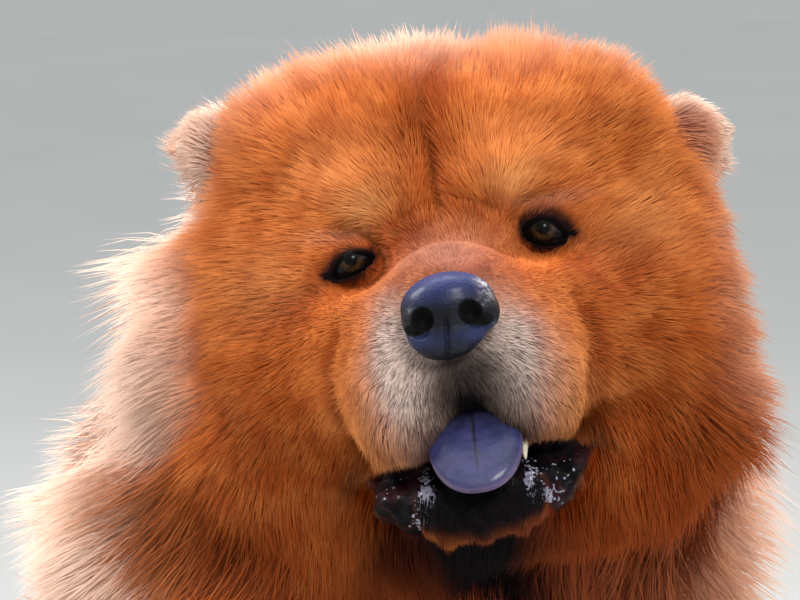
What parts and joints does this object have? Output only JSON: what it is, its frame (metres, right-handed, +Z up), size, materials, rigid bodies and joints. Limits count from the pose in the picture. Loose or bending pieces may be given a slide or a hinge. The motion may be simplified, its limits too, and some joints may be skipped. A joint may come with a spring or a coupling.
{
  "type": "chow chow dog",
  "caption": "Life-size chow chow, sitting still with its head raised and turned, mouth open on a broad tongue, a deep ruff round the neck and a plumed tail laid on its back.",
  "frame": {"origin": "on the floor, under the middle of the dog's outline", "axes": "+Z up; the dog's body faces -Y, so its left side is +X and its tail is towards +Y"},
  "size_m": [0.3908, 0.755, 0.6728],
  "materials": {
    "coat": "long dense hair",
    "nose_leather": "moist, finely pebbled",
    "eye": "wet and clear over a dark brown iris",
    "tongue": "wet, blue-black",
    "tooth": "smooth enamel",
    "claw": "dull horn"
  },
  "bodies": {
    "root": {"head": "coat", "lower_jaw": "coat", "neck": "coat", "trunk": "coat", "tail": "coat", "ear_left": "coat", "ear_right": "coat", "foreleg_left": "coat", "foreleg_right": "coat", "thigh_left": "coat", "thigh_right": "coat", "forepaw_left": "coat", "forepaw_right": "coat", "hindpaw_left": "coat", "hindpaw_right": "coat", "nose": "nose_leather", "eye_left": "eye", "eye_right": "eye", "tongue": "tongue", "canine": "tooth", "claw_fore_left_1": "claw", "claw_fore_left_2": "claw", "claw_fore_left_3": "claw", "claw_fore_left_4": "claw", "claw_fore_right_1": "claw", "claw_fore_right_2": "claw", "claw_fore_right_3": "claw", "claw_fore_right_4": "claw", "claw_hind_left_1": "claw", "claw_hind_left_2": "claw", "claw_hind_left_3": "claw", "claw_hind_left_4": "claw", "claw_hind_right_1": "claw", "claw_hind_right_2": "claw", "claw_hind_right_3": "claw", "claw_hind_right_4": "claw"}
  },
  "joints": []
}
